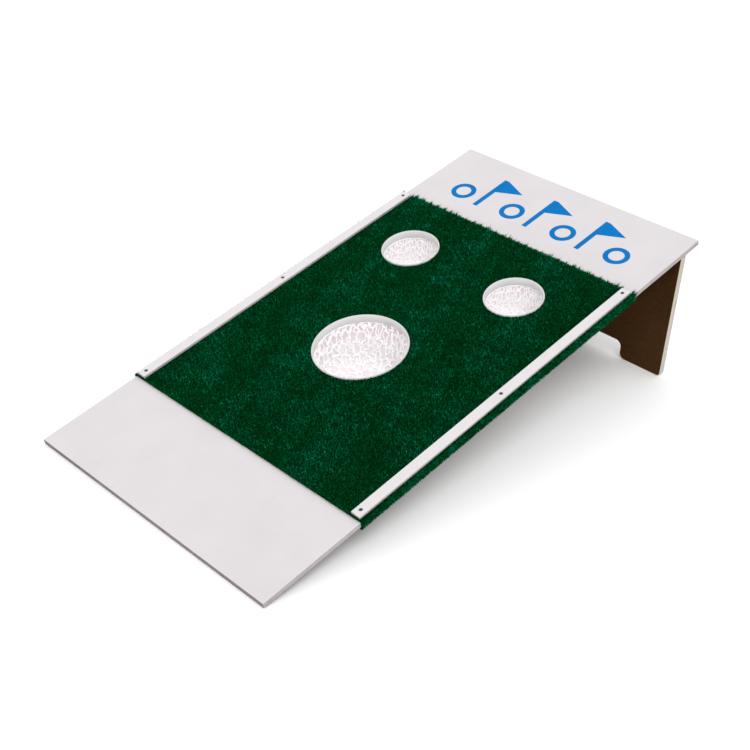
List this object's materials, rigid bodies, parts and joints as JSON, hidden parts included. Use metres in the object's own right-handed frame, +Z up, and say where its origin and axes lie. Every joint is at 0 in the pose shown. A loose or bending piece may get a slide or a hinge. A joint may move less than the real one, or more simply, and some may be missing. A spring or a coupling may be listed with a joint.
{
  "type": "golf chipping target board",
  "caption": "Leaning white board with a green turf strip held by battens, three round netted holes and a folding leg panel with a notch.",
  "frame": {"origin": "on the ground, in the middle of the board's footprint", "axes": "+X to the right across the board, +Y from the low near edge to the raised far edge, +Z up"},
  "size_m": [0.621, 1.1574, 0.3],
  "materials": {
    "white_board": "smooth white facing on board",
    "blue_vinyl": "satin blue vinyl",
    "green_turf": "short artificial grass",
    "white_batten": "white paint, satin",
    "dark_screws": "dark oxide",
    "white_plastic": "smooth white",
    "white_net": "white knotted netting",
    "white_webbing": "woven white webbing",
    "zinc_steel": "zinc plated",
    "brown_board": "bare brown board inside, white facing outside"
  },
  "bodies": {
    "deck": {"deck_board": "white_board", "headboard_graphic": "blue_vinyl", "turf_mat": "green_turf", "left_turf_staples": "zinc_steel", "right_turf_staples": "zinc_steel", "left_batten": "white_batten", "right_batten": "white_batten", "left_batten_screws": "dark_screws", "right_batten_screws": "dark_screws", "large_hole_liner": "white_plastic", "left_hole_liner": "white_plastic", "right_hole_liner": "white_plastic", "large_net_bag": "white_net", "left_net_bag": "white_net", "right_net_bag": "white_net", "large_net_hem": "white_webbing", "left_net_hem": "white_webbing", "right_net_hem": "white_webbing", "large_hem_staples": "zinc_steel", "left_hem_staples": "zinc_steel", "right_hem_staples": "zinc_steel", "left_hinge_deck_leaf": "zinc_steel", "right_hinge_deck_leaf": "zinc_steel", "left_hinge_pin": "zinc_steel", "right_hinge_pin": "zinc_steel", "left_deck_leaf_screws": "zinc_steel", "right_deck_leaf_screws": "zinc_steel"},
    "leg": {"leg_panel": "brown_board", "left_hinge_leg_leaf": "zinc_steel", "right_hinge_leg_leaf": "zinc_steel", "left_leg_leaf_screws": "zinc_steel", "right_leg_leaf_screws": "zinc_steel"}
  },
  "joints": [
    {"name": "leg_fold", "type": "hinge", "parent": "deck", "child": "leg", "pos_m": [0, 0.51864, 0.26892], "axis": [-1, 0, 0], "range_deg": [0, 76]}
  ]
}
